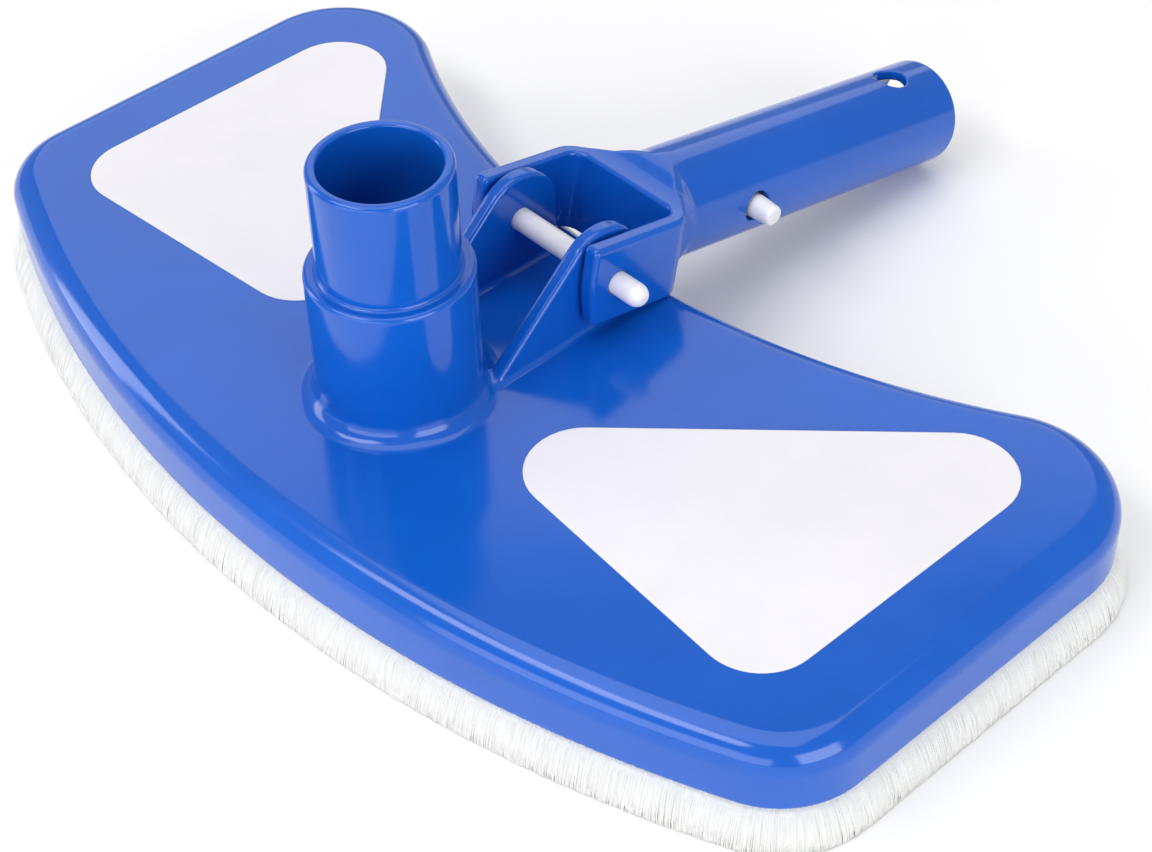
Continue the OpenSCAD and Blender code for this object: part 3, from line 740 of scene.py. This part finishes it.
def bristles(part, per_mm):
    """Fine tapered filaments of one strip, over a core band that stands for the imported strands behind."""
    pts, nor, seg = run_points(part, 0.5)
    length = seg[-1]

    def wander(gap, s):
        k = int(length / gap) + 2
        return np.interp(s, np.linspace(0, length, k), rng.normal(0, 1, k))

    def strands(n, depth, top, radius, levels, out_limit):
        s = np.clip((np.arange(n) + rng.uniform(-0.5, 0.5, n)) * length / n, 0, length)
        base = np.stack([np.interp(s, seg, pts[:, k]) for k in (0, 1)], 1)
        normal = np.stack([np.interp(s, seg, nor[:, k]) for k in (0, 1)], 1)
        normal /= np.linalg.norm(normal, axis=1)[:, None]
        side = np.stack([-normal[:, 1], normal[:, 0]], 1)
        tuft, lean = wander(1.6, s), wander(8.0, s)
        slide = rng.normal(0, 0.22, n) + 0.22 * lean + 0.14 * tuft
        wild = rng.random(n) < 0.03
        slide = np.where(wild, slide * 3.0, slide)
        tip_z = np.clip(np.abs(rng.normal(0, 0.2, n)) + 0.10 * np.abs(tuft) + 0.14, 0.1, 1.3)
        flare = rng.normal(0, 0.10, n) + 0.10 * tuft
        r0 = rng.uniform(*radius, n)
        rings = []
        for t in levels:
            z = top + (tip_z - top) * t
            o = outer(z) * (1 - depth) + inner(z) * depth - 0.26 + flare * t
            o = np.minimum(o, out_limit)
            centre = base + normal * o[:, None] + side * (slide * t ** 1.5)[:, None]
            r = r0 * (1 - 0.5 * max(t - 0.6, 0) / 0.4)
            for i in range(4):
                w = math.pi * (0.25 + 0.5 * i)
                away = normal * (r * math.cos(w))[:, None] + side * (r * math.sin(w))[:, None]
                rings.append(np.c_[centre + away, z])
        P = np.stack(rings, 1)
        m = 4 * len(levels)
        quads = [(j * 4 + (i + 1) % 4, j * 4 + i, (j + 1) * 4 + i, (j + 1) * 4 + (i + 1) % 4)
                 for j in range(len(levels) - 1) for i in range(4)]
        quads.append((m - 4, m - 3, m - 2, m - 1))
        quads.append((3, 2, 1, 0))
        return P.reshape(-1, 3), (np.array(quads)[None] + (np.arange(n) * m)[:, None, None]).reshape(-1, 4)

    limit = SPLAY - 0.2
    n_outer, n_filler, n_inner = (int(length * per_mm * share) for share in (1.0, 0.8, 0.3))
    sets = [
        strands(n_outer, rng.random(n_outer) ** 2 * 0.07, ROOT_Z, (0.14, 0.20),
                (0, 0.14, 0.38, 0.62, 0.85, 1), limit),
        strands(n_filler, rng.random(n_filler), 2.6, (0.15, 0.22), (0, 0.5, 1), limit),
        strands(n_inner, 1 - rng.random(n_inner) ** 2 * 0.12, ROOT_Z, (0.15, 0.21), (0, 0.4, 0.75, 1), limit)]
    heights = (12.4, 10.6, 10.0, 8.8, 7.0, 5.2, 3.4, 1.6)
    section = [(outer(z) - 0.42, z) for z in heights] + [(outer(1.0) - 1.2, 1.0), (inner(1.0) + 1.0, 1.0)]
    section += [(inner(z) + 0.5, z) for z in (1.6, 4.5, 9.0, 12.4)]
    groove = 0.05 * wander(0.9, seg) + 0.07 * wander(2.6, seg)
    k, c = len(pts), len(section)
    rows = []
    for o, z in section:
        depth = np.clip((11.0 - z) / 8.0, 0, 1)
        rows.append(np.c_[pts + nor * (o + groove * depth)[:, None], np.full(k, z)])
    band = np.concatenate(rows)
    i = np.arange(k - 1)
    rims = [(j * k + i, (j + 1) % c * k + i) for j in range(c)]
    walls = [np.stack([a, a + 1, b + 1, b], 1) for a, b in rims]
    end = np.array([(j, j + 1, c - 2 - j, c - 1 - j) for j in range(c // 2 - 1)]) * k
    shell = np.concatenate(walls + [end, end[:, ::-1] + k - 1])
    ahead = pts[1] - pts[0]
    if ahead[0] * nor[0, 1] - ahead[1] * nor[0, 0] < 0:
        shell = shell[:, ::-1]
    sets.append((band, shell))
    points, faces, count = [], [], 0
    for P, F in sets:
        points.append(P)
        faces.append(F + count)
        count += len(P)
    points = np.concatenate(points)
    points[:, 1] += axis_y
    ob = make(f"bristle_tufts_{part}", points, np.concatenate(faces))
    return finish_piece(ob, "head", "bristle", BRISTLE, f"bristles_{part}")


density = 15.0
for part in ("front", "right", "rear", "left"):
    bristles(part, density)


# ---------- carried-over CAD nodes ----------

for node, material, width in (
        ("base_plate", SATIN_BLUE, 0.5), ("weight_left", CAST, 0.8), ("weight_right", CAST, 0.8),
        ("base_screws", STEEL, 0.15), ("weight_screws", STEEL, 0.15),
        ("brush_spine_front", STRIP, 0), ("brush_spine_left", STRIP, 0.2), ("brush_spine_right", STRIP, 0.2),
        ("brush_spine_rear", STRIP, 0), ("clip_bow", NYLON, 0.25), ("clip_arm_left", NYLON, 0.3),
        ("clip_arm_right", NYLON, 0.3)):
    ob = frame["nodes"][node]
    for i in range(len(ob.data.materials)):
        ob.data.materials[i] = material
    if not ob.data.materials:
        ob.data.materials.append(material)
    if width:
        soften(ob, width)


# ---------- floor, light and camera ----------

def backdrop():
    me = bpy.data.meshes.new("floor")
    s = 4.0
    me.from_pydata([(-s, -s, 0), (s, -s, 0), (s, s, 0), (-s, s, 0)], [], [(0, 1, 2, 3)])
    ob = bpy.data.objects.new("floor", me)
    bpy.context.scene.collection.objects.link(ob)
    p = Paint("floor_paper")
    cloud = p.noise(3.0, 2.0, 0.5)
    p.set(Base_Color=p.ramp(cloud, [(0.2, (0.90, 0.90, 0.905)), (0.8, (0.93, 0.93, 0.93))]), Roughness=0.9)
    p.bsdf.inputs["Specular IOR Level"].default_value = 0.1
    me.materials.append(p.mat)


backdrop()


def area(name, at, target, size, power, colour=(1, 1, 1)):
    data = bpy.data.lights.new(name, "AREA")
    data.shape = "RECTANGLE"
    data.size, data.size_y = size
    data.energy = power
    data.color = colour
    ob = bpy.data.objects.new(name, data)
    ob.location = at
    ob.rotation_euler = (Vector(target) - Vector(at)).to_track_quat("-Z", "Y").to_euler()
    bpy.context.scene.collection.objects.link(ob)
    return ob


middle = Vector((0, -0.02, 0.03))
area("back_panel", (-1.02, 0.92, 0.87), middle, (1.55, 0.93), 4.4)
area("overhead", (-0.05, -0.05, 1.55), middle, (1.4, 1.4), 9.0)
area("key", (-0.25, -0.95, 1.30), middle, (1.1, 0.4), 7.0, (1.0, 0.985, 1.0))
area("left_strip", (-1.25, -0.75, 0.45), middle, (0.35, 1.0), 4.0, (0.99, 0.98, 1.0))
area("right_panel", (1.35, -0.20, 0.50), middle, (0.9, 0.8), 9.0)
area("front_low", (0.35, -1.45, 0.38), middle, (1.6, 0.6), 7.0)

world = bpy.data.worlds.new("studio")
bpy.context.scene.world = world
world.use_nodes = True
back = world.node_tree.nodes["Background"]
back.inputs["Color"].default_value = (1.0, 1.0, 1.0, 1.0)
back.inputs["Strength"].default_value = 0.38

camera_data = bpy.data.cameras.new("camera")
camera_data.sensor_width = 36.0
camera_data.lens = 75.59
camera_data.clip_start = 0.01
camera = bpy.data.objects.new("camera", camera_data)
bpy.context.scene.collection.objects.link(camera)
bpy.context.scene.camera = camera
az, el, roll = math.radians(48.29), math.radians(42.97), math.radians(-1.81)
dist, tx, ty = 547.65, 39.62, -9.44
toward = Vector((math.sin(az) * math.cos(el), -math.cos(az) * math.cos(el), math.sin(el)))
right0 = Vector((math.cos(az), math.sin(az), 0.0))
up0 = toward.cross(right0)
right = right0 * math.cos(roll) + up0 * math.sin(roll)
up = -right0 * math.sin(roll) + up0 * math.cos(roll)
spot = (Vector((0.0, axis_y, top_z)) + right * tx + up * ty + toward * dist) / 1000
camera.matrix_world = Matrix((
    (right.x, up.x, toward.x, spot.x),
    (right.y, up.y, toward.y, spot.y),
    (right.z, up.z, toward.z, spot.z),
    (0.0, 0.0, 0.0, 1.0)))

bpy.context.scene.view_settings.view_transform = "Standard"
bpy.context.view_layer.update()
